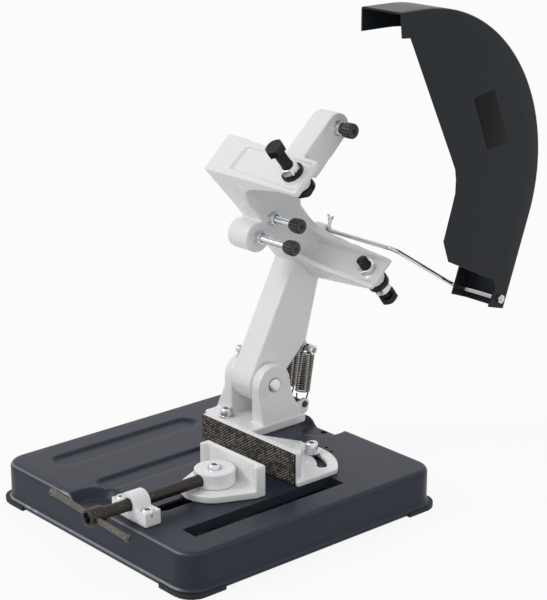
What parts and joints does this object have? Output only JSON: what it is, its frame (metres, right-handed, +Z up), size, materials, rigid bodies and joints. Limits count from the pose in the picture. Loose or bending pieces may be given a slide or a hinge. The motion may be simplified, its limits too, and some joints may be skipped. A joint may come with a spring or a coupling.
{
  "type": "angle grinder stand",
  "caption": "Bench stand that holds an angle grinder as a chop saw: tray base, screw vise, sprung swing arm with clamp fork, and wheel guard.",
  "frame": {"origin": "centre of the whole stand's box, on the bench that its rubber feet stand on", "axes": "+X to the operator's right, across the tray; +Y to the back, away from the vise handle; +Z up"},
  "size_m": [0.323, 0.5274, 0.519],
  "materials": {
    "tray_paint": "slate grey satin enamel",
    "casting": "cast, gloss warm grey-white paint",
    "rubber": "black rubber",
    "zinc": "bright zinc plate",
    "dark_steel": "browned steel",
    "black_steel": "black oxide"
  },
  "bodies": {
    "base": {"base_tray": "tray_paint", "corner_feet": "rubber", "screw_block": "casting", "screw_block_bolts": "zinc", "screw_block_nuts": "zinc", "fence_clamp_screw": "zinc", "fence_clamp_nut": "zinc", "fence_pivot_screw": "zinc", "hinge_bracket": "casting", "bracket_bolts": "zinc", "bracket_nuts": "zinc", "hinge_pin": "zinc", "pin_lock_screw": "zinc", "spring_anchor": "dark_steel", "spring_near": "dark_steel", "spring_far": "dark_steel"},
    "fence": {"fixed_jaw": "casting", "knurled_plate": "dark_steel"},
    "carriage": {"swivel_block": "casting", "swivel_bolt": "zinc", "swivel_guide": "zinc"},
    "jaw": {"moving_jaw": "casting"},
    "screw": {"vise_screw": "dark_steel"},
    "tommy": {"tommy_bar": "dark_steel"},
    "arm": {"swing_arm": "casting", "spring_post": "zinc", "fork_washers": "black_steel", "upper_nut": "zinc", "lower_nuts": "zinc", "rest_nuts": "zinc", "rod_lock_screw": "zinc"},
    "bolt_above": {"upper_bolt": "black_steel"},
    "bolt_below": {"lower_bolt": "black_steel"},
    "rest_a": {"rest_stud_1": "zinc", "rest_cap_1": "rubber"},
    "rest_b": {"rest_stud_2": "zinc", "rest_cap_2": "rubber"},
    "rest_c": {"rest_stud_3": "zinc", "rest_cap_3": "rubber"},
    "rod": {"guard_rod": "zinc", "rod_nuts": "zinc"},
    "guard": {"guard_shell": "tray_paint"}
  },
  "joints": [
    {"name": "arm_swing", "type": "hinge", "parent": "base", "child": "arm", "pos_m": [-0.0655, 0.05075, 0.0937], "axis": [1, 0, 0], "range_deg": [0, 74], "stiffness_Nm_per_rad": 4, "springref_deg": -34.38, "deforming": ["spring_near", "spring_far"]},
    {"name": "fence_turn", "type": "hinge", "parent": "base", "child": "fence", "pos_m": [0.05, -0.02625, 0.06], "axis": [0, 0, 1], "range_deg": [0, 34]},
    {"name": "jaw_slide", "type": "slide", "parent": "base", "child": "carriage", "axis": [0, 1, 0], "range_m": [-0.04, 0.026]},
    {"name": "screw_turn", "type": "hinge", "parent": "carriage", "child": "screw", "pos_m": [0.052, -0.19925, 0.0602], "axis": [0, 1, 0], "range_deg": [-7200, 4680]},
    {"name": "tommy_slide", "type": "slide", "parent": "screw", "child": "tommy", "axis": [0.9986, 0, -0.0523], "range_m": [-0.043, 0.055]},
    {"name": "jaw_swivel", "type": "hinge", "parent": "carriage", "child": "jaw", "pos_m": [0.052, -0.10625, 0.05], "axis": [0, 0, 1], "range_deg": [-34, 34]},
    {"name": "upper_bolt_feed", "type": "slide", "parent": "arm", "child": "bolt_above", "axis": [0, 0.6428, -0.766], "range_m": [-0.015, 0.02]},
    {"name": "lower_bolt_feed", "type": "slide", "parent": "arm", "child": "bolt_below", "axis": [0, -0.6428, 0.766], "range_m": [-0.015, 0.008]},
    {"name": "rest_1_feed", "type": "slide", "parent": "arm", "child": "rest_a", "axis": [1, 0, 0], "range_m": [-0.012, 0.012]},
    {"name": "rest_2_feed", "type": "slide", "parent": "arm", "child": "rest_b", "axis": [1, 0, 0], "range_m": [-0.012, 0.012]},
    {"name": "rest_3_feed", "type": "slide", "parent": "arm", "child": "rest_c", "axis": [1, 0, 0], "range_m": [0, 0.01]},
    {"name": "rod_turn", "type": "hinge", "parent": "arm", "child": "rod", "pos_m": [-0.04, 0.13045, 0.2538], "axis": [-1, 0, 0], "range_deg": [-25, 25]},
    {"name": "guard_tilt", "type": "hinge", "parent": "rod", "child": "guard", "pos_m": [0.114, 0.20925, 0.2023], "axis": [-1, 0, 0], "range_deg": [-30, 30]}
  ],
  "couplings": [
    {"joint": "jaw_slide", "follows": "screw_turn", "m_per_rad": 0.00031831}
  ]
}
